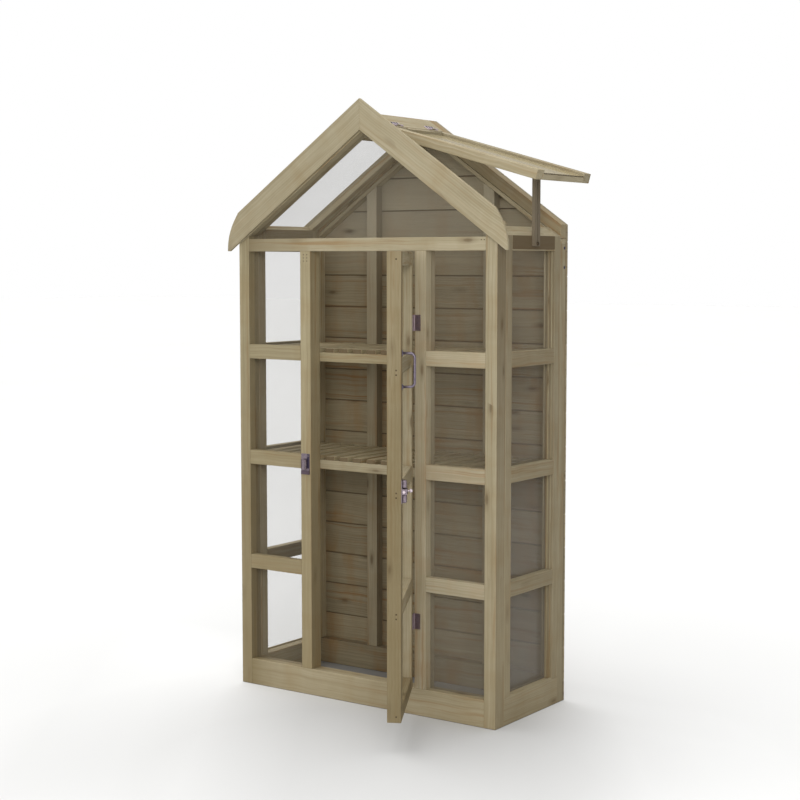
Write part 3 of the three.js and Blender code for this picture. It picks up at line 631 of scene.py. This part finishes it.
# Ridge board: stem between two plates
plate_width, plate_thick = RIDGE_PLATE
run, inset = plate_width * math.cos(PITCH), plate_thick * math.sin(PITCH)
for label, side in SIDES:
    outline = [(0, APEX), (side * run, under_roof(run, 0)),
               (side * (run - inset), under_roof(run - inset, plate_thick)), (0, under_roof(0, plate_thick))]
    prism(f"ridge_plate_{label}", outline, (FRONT, REAR), ALONG_Y, nodes=["ridge_board"])
stem = T / 2
outline = [(-stem, APEX - RIDGE_STEM), (stem, APEX - RIDGE_STEM), (stem, under_roof(stem, plate_thick)),
           (0, under_roof(0, plate_thick)), (-stem, under_roof(stem, plate_thick))]
prism("ridge_stem", outline, (FRONT, REAR), ALONG_Y, nodes=["ridge_board"])


# Roof light frames: stiles, top rail and low bottom rail, with a middle bar in the vent
def light_frame(node, side, place, body):
    start, end = LIGHT_START, LIGHT_END
    deep, shallow = (-LIGHT, 0), (-LIGHT, LIGHT_BAR - LIGHT)
    middle = (LIGHT_FRONT + LIGHT_BACK) / 2
    inside = (LIGHT_FRONT + T, LIGHT_BACK - T)
    options = {"nodes": [node], "place": place, "body": body}
    block(f"{node}_stile_front", span(side, start, end), (LIGHT_FRONT, inside[0]), deep, ALONG_X, **options)
    block(f"{node}_stile_rear", span(side, start, end), (inside[1], LIGHT_BACK), deep, ALONG_X, **options)
    block(f"{node}_top_rail", span(side, start, start + LIGHT_HEAD), inside, deep, ALONG_Y, **options)
    block(f"{node}_bottom_rail", span(side, end - LIGHT_SILL, end), inside, shallow, ALONG_Y, **options)
    if side > 0:
        block(f"{node}_middle_bar", span(side, start + LIGHT_HEAD, end - LIGHT_SILL),
              (middle - LIGHT_MIDDLE / 2, middle + LIGHT_MIDDLE / 2), shallow, ALONG_X, **options)


# painted shadow: a dark strip at the end of the vent's low rail, where the pane stops
SHADOW_STRIP_X = (LIGHT_END - 2.4, LIGHT_END - 0.2)
SHADOW_STRIP_HEIGHT = 2.6      # above the vent's low rail
light_frame("roof_frame_left", -1, SLOPE_LEFT, "frame")
light_frame("vent_frame", 1, VENT, "vent")
block("vent_painted_shadow_strip", SHADOW_STRIP_X, (LIGHT_FRONT + T + GAP, LIGHT_BACK - T - GAP),
      (LIGHT_BAR - LIGHT, LIGHT_BAR - LIGHT + SHADOW_STRIP_HEIGHT), ALONG_Y, place=VENT, body="vent", material=NAIL,
      slot="dark_steel", bevel=0.3)


# Shelves: slats from front to back on two bearers
def shelf(node, top, bearer_material):
    half = CLEAR - GAP
    front, back = FRONT + GAP, REAR - GAP
    foot = top - SLAT_THICK
    bearer_depth, bearer_height = BEARER
    for end, y in (("front", (front, front + bearer_depth)), ("rear", (back - bearer_depth, back))):
        block(f"{node}_bearer_{end}", (-half, half), y, (foot - bearer_height, foot), ALONG_X, nodes=[node],
              material=bearer_material)
    steps = int((2 * half - SLAT) // SLAT_STEP)
    pitch = (2 * half - SLAT) / steps
    for index in range(steps + 1):
        x = index * pitch - half
        block(f"{node}_slat_{index + 1}", (x, x + SLAT), (front, back), (foot, top), ALONG_Y, nodes=[node],
              material=SLATS)


shelf("shelf_lower", BARS[1] + SHELF_RISE, TIMBER)
# the upper shelf's bearers take painted shade
shelf("shelf_upper", BARS[2] + SHELF_RISE, SHADED_LEFT_WOOD)

# Door
on_door = {"place": DOOR, "body": "door"}
rails = (LATCH + T + GAP, HINGE_EDGE - T - GAP)
for name, x, y, z, grain, material in [
    ("door_stile_hinge", (HINGE_EDGE - T, HINGE_EDGE), T, (DOOR_LOW, DOOR_HIGH), UP, TIMBER),
    ("door_stile_latch", (LATCH, LATCH + T), T, (DOOR_LOW, DOOR_HIGH), UP, DOOR_WOOD),
    ("door_rail_top", rails, T, (DOOR_HIGH - T, DOOR_HIGH), ALONG_X, TIMBER),
    ("door_rail_bottom", rails, T, (DOOR_LOW, DOOR_LOW + T), ALONG_X, DOOR_WOOD),
] + [
    (f"door_rail_{index}", rails, BAR_DEPTH, (centre - BAR / 2, centre + BAR / 2), ALONG_X, TIMBER)
    for index, centre in enumerate(BARS, 1)
]:
    block(f"{name}_timber", x, (0, y), z, grain, nodes=[name], material=material, **on_door)


# Pull handle: a bent rod on two round feet
def circle(centre, radius, u, v, sides):
    angles = [2 * math.pi * k / sides for k in range(sides)]
    return [centre + radius * (math.cos(angle) * u + math.sin(angle) * v) for angle in angles]


def skin(bm, rings):
    """Close a row of rings into a solid."""
    rings = [[bm.verts.new(point) for point in ring] for ring in rings]
    for a, b in zip(rings, rings[1:]):
        for k in range(len(a)):
            j = (k + 1) % len(a)
            bm.faces.new((a[k], a[j], b[j], b[k]))
    bm.faces.new(rings[0])
    bm.faces.new(list(reversed(rings[-1])))


def tube(bm, points, radius, sides=14):
    """A round rod along a path that lies in a plane of constant X."""
    rings = []
    for i, here in enumerate(points):
        before, after = points[max(i - 1, 0)], points[min(i + 1, len(points) - 1)]
        tangent = (after - before).normalized()
        sideways = Vector((1, 0, 0))
        rings.append(circle(here, radius, sideways, tangent.cross(sideways).normalized(), sides))
    skin(bm, rings)


def lathe(bm, profile, centre, axis, sides=16):
    """Turn a profile of (radius, height) about an axis through centre."""
    axis = Vector(axis).normalized()
    helper = Vector((0, 0, 1)) if abs(axis.z) < 0.9 else Vector((1, 0, 0))
    u = axis.cross(helper).normalized()
    v = axis.cross(u)
    skin(bm, [circle(Vector(centre) + axis * rise, radius, u, v, sides) for radius, rise in profile])


HANDLE_Z = BARS[2] - 10.0
HANDLE_HALF = 43.0      # from its middle to a foot
HANDLE_REACH = 33.0
HANDLE_BEND = 12.0
HANDLE_ROD = 3.5
HANDLE_FOOT = [(8.0, 0.4), (8.0, 1.6), (7.2, 2.4), (4.6, 2.8), (4.2, 4.4)]
BEND_STEPS = 8
straight = HANDLE_REACH - HANDLE_BEND
path = [Vector((LATCH_X, y, HANDLE_Z - HANDLE_HALF)) for y in (-0.5, -straight)]
for i in range(1, BEND_STEPS + 1):
    angle = math.pi / 2 * i / BEND_STEPS
    path.append(Vector((LATCH_X, -straight - HANDLE_BEND * math.sin(angle),
                        HANDLE_Z - HANDLE_HALF + HANDLE_BEND - HANDLE_BEND * math.cos(angle))))
path += [Vector((p.x, p.y, 2 * HANDLE_Z - p.z)) for p in reversed(path)]
bm = bmesh.new()
tube(bm, path, HANDLE_ROD)
for z in (-HANDLE_HALF, HANDLE_HALF):
    lathe(bm, HANDLE_FOOT, (LATCH_X, 0, HANDLE_Z + z), FORWARD, 24)
handle = finish(bm, "pull_handle", DOOR, "door", ["door_handle"], HANDLE_STEEL, None)
for face in handle.data.polygons:
    face.use_smooth = True


# Screws and nails
def screw_heads(name, spots, axis, radius, place=SHELL, body="frame", rise=0.7, material=STEEL):
    """Domed heads with a sunk middle, one on each spot."""
    bm = bmesh.new()
    for spot in spots:
        lathe(bm, [(radius, 0.0), (radius * 0.96, rise * 0.4), (radius * 0.72, rise * 0.85),
                   (radius * 0.42, rise), (radius * 0.34, rise * 0.3)], spot, axis, 12)
    return finish(bm, name, place, body, [], material, None)


# Radii of the heads, and how far a sunk one stands out
HINGE_HEAD = 2.6
POST_SCREW_HEAD = 4.6
RIDGE_HEAD = 4.9
BACK_NAIL_HEAD = 2.4
LATCH_HEAD = 2.3
EDGE_NAIL_HEAD = 1.9
JOINT_HEAD = 1.7
RIVET_HEAD = 3.0
SUNK = 0.2

LEAF_FACE = -1.8        # face of a door hinge's leaf
LEAF_SCREW = 11.5       # from the pin to the row of screws
SCREW_STEPS = (-15, 0, 15)
DOOR_HINGES = (DOOR_HIGH - 194.5, DOOR_LOW + 188.0)
spots = [(DOOR_AXIS + LEAF_SCREW, LEAF_FACE, z + dz) for z in DOOR_HINGES for dz in SCREW_STEPS]
screw_heads("hinge_screws_frame", spots, FORWARD, HINGE_HEAD)
spots = [(DOOR_AXIS - LEAF_SCREW, LEAF_FACE, z + dz) for z in DOOR_HINGES for dz in SCREW_STEPS]
screw_heads("hinge_screws_door", spots, FORWARD, HINGE_HEAD, **on_door)

POST_SCREW_Y = BOARD - 8.0
POST_SCREW_FALLS = (11.0, 66.0)  # below the post's head
POST_HEAD = under_roof(HALF, RAFTER + GAP)
for label, side in SIDES:
    spots = [(side * HALF, POST_SCREW_Y, POST_HEAD - fall) for fall in POST_SCREW_FALLS]
    screw_heads(f"rear_post_screws_{label}", spots, (side, 0, 0), POST_SCREW_HEAD, material=SCREW)

VENT_HINGE_INSET = 57.5
VENT_HINGES = (LIGHT_FRONT + VENT_HINGE_INSET, LIGHT_BACK - VENT_HINGE_INSET)
VENT_LEAF_FACE = 2.1
RIDGE_SCREW = LEAF_SCREW + 3.5
RIDGE_STEPS = (-13, 0, 13)
spots = [(HINGE_RUN - RIDGE_SCREW, y + dy, VENT_LEAF_FACE) for y in VENT_HINGES for dy in RIDGE_STEPS]
screw_heads("hinge_screws_ridge", spots, UP, RIDGE_HEAD, SLOPE_RIGHT, material=SCREW)
spots = [(HINGE_RUN + LEAF_SCREW, y + dy, VENT_LEAF_FACE) for y in VENT_HINGES for dy in SCREW_STEPS]
screw_heads("hinge_screws_vent", spots, UP, HINGE_HEAD, VENT, "vent", material=DULL_ZINC)

BOLT_Z = BARS[1] - 7.0
PLATE_FACE = -2.0       # face of the keep's and the bolt's plates
PLATE_STEPS = (-24, 24)
KEEP_GAP, KEEP_HALF = 4.0, 15.0
KEEP_X = -DOORWAY - KEEP_GAP - KEEP_HALF
spots = [(KEEP_X + dx, PLATE_FACE, BOLT_Z + dz) for dx in (-10, 10) for dz in PLATE_STEPS]
screw_heads("keep_screws", spots, FORWARD, HINGE_HEAD)
spots = [(LATCH_X + dx, PLATE_FACE, BOLT_Z + dz) for dx in (-11, 11) for dz in PLATE_STEPS]
screw_heads("bolt_plate_screws", spots, FORWARD, HINGE_HEAD, **on_door)

# Nails through the back boards, two to a board at each post and batten
NAIL_STEPS = (-22, 22)
NAIL_LINES = (-HALF + 18, -BATTEN_X, BATTEN_X, HALF - 18)
LOWEST_NAIL = 8
rows = [(low + high) / 2 for low, high in zip(edges, edges[1:])]
spots = [(x, BACK, z + dz) for z in rows for x in NAIL_LINES for dz in NAIL_STEPS
         if LOWEST_NAIL < z + dz < under_roof(x, 0) - 14]
screw_heads("back_nails", spots, FORWARD, BACK_NAIL_HEAD, rise=0.5)

# Sunk screws in the latch stile's edge, where the rails meet it, and nails in the boards' right ends
LATCH_SCREW_Y = 13.0
BAR_SCREWS = (10, 22)   # below the middle of a mid rail
heights = ([DOOR_HIGH - 20] + [centre - fall for centre in reversed(BARS) for fall in BAR_SCREWS]
           + [DOOR_LOW + 16])
spots = [(LATCH, LATCH_SCREW_Y, z) for z in heights]
screw_heads("latch_stile_screws", spots, (-1, 0, 0), LATCH_HEAD, rise=SUNK, material=NAIL, **on_door)
spots = [(HALF, BOARD + 6.0, z + dz) for z in rows for dz in NAIL_STEPS
         if LOWEST_NAIL < z + dz < under_roof(HALF, 0) - 10]
screw_heads("edge_nails", spots, (1, 0, 0), EDGE_NAIL_HEAD, rise=SUNK, material=NAIL)

# Glazing beads: under the eave rail, on the sill and up the rear reveal of each side
BEAD = 4.0
BEAD_INSETS = (4.0, 17.0, 27.0)
BEAD_WIDTH = 3.4
BEAD_DEPTH = 2.6
bead_lows = [BASE + 4.5] + [centre + BAR / 2 + GAP for centre in BARS]
bead_highs = [centre - BAR / 2 - GAP for centre in BARS] + [EAVE_UNDER - 3.5]
for label, side in SIDES:
    sill = (SIDE_FRONT + GAP, SIDE_REAR - GAP)
    block(f"side_bead_top_{label}", span(side, HALF - BEAD, HALF), sill, (EAVE_UNDER - 3.2, EAVE_UNDER),
          ALONG_Y, bevel=0.4)
    block(f"side_bead_sill_{label}", span(side, HALF - 5.0, HALF - 0.5), sill, (BASE, BASE + BEAD), ALONG_Y,
          bevel=0.4)
    for index, inset in enumerate(BEAD_INSETS, 1):
        for low, high in zip(bead_lows, bead_highs):
            block(f"side_bead_rear_{label}_{index}_{round(low)}",
                  span(side, CLEAR + inset, CLEAR + inset + BEAD_WIDTH), (SIDE_REAR - BEAD_DEPTH, SIDE_REAR),
                  (low, high), UP, bevel=0.4)

# Screws through the head of the left stile and the right end of the top rail
spots = [(x, 0.0, TOP_UNDER - dz) for x in (-DOORWAY - 24, -DOORWAY - 12) for dz in (10, 19, 28)]
spots += [(CLEAR - inset, 0.0, TOP - 8) for inset in (14, 5)]
screw_heads("front_joint_screws", spots, FORWARD, JOINT_HEAD, rise=SUNK, material=NAIL)

# Keep: a dark lip on the plate; a near-black sheet on the plate beside the bridge and a dark line down the
# bridge's face, both painted shadow; a bright strip on the bridge's edge, a painted highlight
BRIDGE_FACE = -14.3
for label, x, y, z, material in (
    ("slot", (6.6, 13.4), (PLATE_FACE - 0.35, PLATE_FACE), (-12.0, 29.5), SCREW),
    ("lip", (-14.6, 14.6), (-4.6, PLATE_FACE), (-30.0, -19.0), SHADE_STEEL),
    ("groove", (-5.9, -3.4), (BRIDGE_FACE - 0.35, BRIDGE_FACE), (-14.6, 14.6), SHADE_STEEL),
    ("edge", (6.0, 6.4), (-12.6, -8.6), (-13.6, 13.6), ZINC),
):
    block(f"keep_{label}", (KEEP_X + x[0], KEEP_X + x[1]), y, (BOLT_Z + z[0], BOLT_Z + z[1]), UP,
          bevel=min(1.0, 0.3 * (y[1] - y[0])), material=material, slot="dark_steel")

# Bolt: pressed ribs above and below its barrel, with a rivet on each
RIB_FACE = -12.6
RIB_HALF = 7.0
for label, z in (("upper", (8.2, 29.5)), ("lower", (-29.5, -8.2))):
    block(f"bolt_rib_{label}", (LATCH_X - RIB_HALF, LATCH_X + RIB_HALF), (RIB_FACE, PLATE_FACE),
          (BOLT_Z + z[0], BOLT_Z + z[1]), UP, material=STEEL, slot="dark_steel", bevel=2.6, segments=3,
          **on_door)
spots = [(LATCH_X, RIB_FACE, BOLT_Z + z) for z in (-20.0, 20.0)]
screw_heads("bolt_rib_rivets", spots, FORWARD, RIVET_HEAD, material=SHADE_STEEL, **on_door)

# Clamp screw of the stay
STAY_Y, STAY_Z = (LIGHT_FRONT + LIGHT_BACK) / 2, EAVE_UNDER + 16.0
CLAMP = [(2.0, -1.0), (2.0, 10.6), (5.5, 10.61), (5.5, 12.0), (4.6, 13.0), (2.4, 13.1), (2.2, 12.0)]
bm = bmesh.new()
lathe(bm, CLAMP, (HALF, STAY_Y, STAY_Z), (1, 0, 0), 20)
finish(bm, "stay_clamp_screw", SHELL, "frame", [], NAIL, None)

# CAD nodes kept as they are, with finished materials: the first start that fits a node's name counts
KEPT = (
    ("pane_vent", PAINTED_REFLECTION_VENT_GLAZING), ("pane_front_right", FRONT_GLAZING), ("pane_side_right", SIDE_GLAZING),
    ("pane", GLAZING), ("vent_stay", SHADED_STAY_WOOD), ("vent_hinge", DULL_ZINC), ("door_hinge", HINGE_STEEL),
    ("", STEEL),
)


def kept_material(name):
    if name == "bolt" or (name.startswith("vent_hinge") and name.endswith("fixed_leaf")):
        return ZINC
    return next(material for start, material in KEPT if name.startswith(start))


for name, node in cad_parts.items():
    if node.hide_render:
        continue
    material = kept_material(name)
    if not node.data.materials:
        node.data.materials.append(material)
    for slot in node.material_slots:
        slot.material = material

# Floor: pale, white to the camera away from the object's shadow
FLOOR_HALF = 40.0
FLOOR_DROP = 0.0005
bm = bmesh.new()
bm.faces.new([bm.verts.new((x * FLOOR_HALF, y * FLOOR_HALF, -FLOOR_DROP))
              for x, y in ((-1, -1), (1, -1), (1, 1), (-1, 1))])
mesh = bpy.data.meshes.new("floor")
bm.to_mesh(mesh)
bm.free()
floor = link(bpy.data.objects.new("floor", mesh))
n = Nodes(bpy.data.materials.new("floor"))
coords = n.object_place()
place = n.axes(coords)
speck = n.noise(coords, 1.2, 2.0)


def matt(dark, pale):
    """A dull shader that drifts between two greys."""
    return n.add("ShaderNodeBsdfDiffuse", {"Color": n.mix(speck, lin(*dark), lin(*pale))})


# the ground inside the frame, in darker greys than the floor around it as painted shade: its half width,
# middle and half depth in metres
INSIDE_X, INSIDE_Y, INSIDE_DEPTH = 0.45, 0.167, 0.19
beside = n.math("GREATER_THAN", n.math("ABSOLUTE", place[0]), INSIDE_X)
before = n.math("GREATER_THAN", n.math("ABSOLUTE", n.math("SUBTRACT", place[1], INSIDE_Y)), INSIDE_DEPTH)
outside = n.math("MAXIMUM", beside, before)
ground = n.mix_shaders(outside, matt((150, 149, 146), (156, 155, 152)), matt((209, 209, 208), (213, 213, 212)))
# painted light: a glow makes the floor paler with distance from the door's foot, and in two bands left and
# right of the door's shadow
DOOR_FOOT = (0.35, -0.50, 0.0)
away = n.add("ShaderNodeVectorMath", {0: coords, 1: DOOR_FOOT}, operation="DISTANCE").outputs["Value"]
lift = n.ramp(n.math("DIVIDE", away, 4.0), ((0.14, 0.0), (0.27, 0.6), (0.6, 1.0)))
across = n.weighted((place[0], 0.818), (place[1], 0.575))
painted_light_band = n.ramp(n.math("ABSOLUTE", n.math("SUBTRACT", across, 0.13)),
              ((0.30, 0.0), (0.57, 1.0), (0.75, 0.75), (1.0, 0.0)))
painted_light_band = n.math("MULTIPLY", painted_light_band, n.ramp(place[1], ((0.2, 1.0), (0.5, 0.0))))
lift = n.math("MULTIPLY", n.weighted((lift, 0.24), (painted_light_band, 0.09)), outside)
glow = n.add("ShaderNodeEmission", {"Color": (1, 1, 1, 1), "Strength": lift})
shown = n.add("ShaderNodeAddShader", {0: ground.outputs[0], 1: glow.outputs[0]})
rays = n.add("ShaderNodeLightPath").outputs
seen = n.math("MAXIMUM", rays["Is Camera Ray"], rays["Is Glossy Ray"])
seen = n.math("MAXIMUM", seen, rays["Is Transmission Ray"])
mesh.materials.append(n.surface(n.mix_shaders(seen, matt((170, 170, 170), (174, 174, 174)), shown)))

# World: white where it is seen; as a light plain, and brighter from above, the front and the left
SKY_LEVEL = 0.42
SKY_LEAN = (-0.38, -0.22, 0.35)
world = bpy.data.worlds.new("studio")
bpy.context.scene.world = world
n = Nodes(world, "ShaderNodeOutputWorld")
rays = n.add("ShaderNodeLightPath").outputs
seen = n.math("MAXIMUM", rays["Is Camera Ray"], rays["Is Transmission Ray"])
direction = n.add("ShaderNodeTexCoord").outputs["Generated"]
lean = n.add("ShaderNodeVectorMath", {0: direction, 1: SKY_LEAN}, operation="DOT_PRODUCT").outputs["Value"]
soft = n.add("ShaderNodeBackground", {
    "Color": (1, 1, 1, 1), "Strength": n.math("ADD", lean, SKY_LEVEL, clamp=True),
})
white = n.add("ShaderNodeBackground", {"Color": (1, 1, 1, 1), "Strength": 1.0})
n.surface(n.mix_shaders(seen, soft, white))


# Lamps
def lamp(name, kind, energy, towards, **props):
    """A lamp that shines back along a direction."""
    data = bpy.data.lights.new(name, kind)
    data.energy = energy
    for key, value in props.items():
        setattr(data, key, value)
    thing = link(bpy.data.objects.new(name, data))
    thing.rotation_euler = Vector(towards).to_track_quat("Z", "Y").to_euler()
    return thing


FILL_PLACE, FILL_AIM = Vector((3.35, -4.05, 2.30)), Vector((0, 0.1, 0.8))
lamp("key", "SUN", 1.70, (-0.20, 0.16, 1.0), angle=math.radians(60))
fill = lamp("fill", "AREA", 112.0, FILL_PLACE - FILL_AIM, size=2.6)
fill.location = FILL_PLACE

# Camera at the photograph's viewing angle
camera_data = bpy.data.cameras.new("camera")
camera_data.sensor_width = 36.0
camera_data.lens = 73.44
camera = link(bpy.data.objects.new("camera", camera_data))
camera.location = (2.73975, -3.72622, 1.27085)
camera.rotation_euler = (math.radians(90 - 4.8585), 0.0, math.radians(35.133))
bpy.context.scene.camera = camera
bpy.context.scene.view_settings.view_transform = "Standard"

bpy.context.view_layer.update()
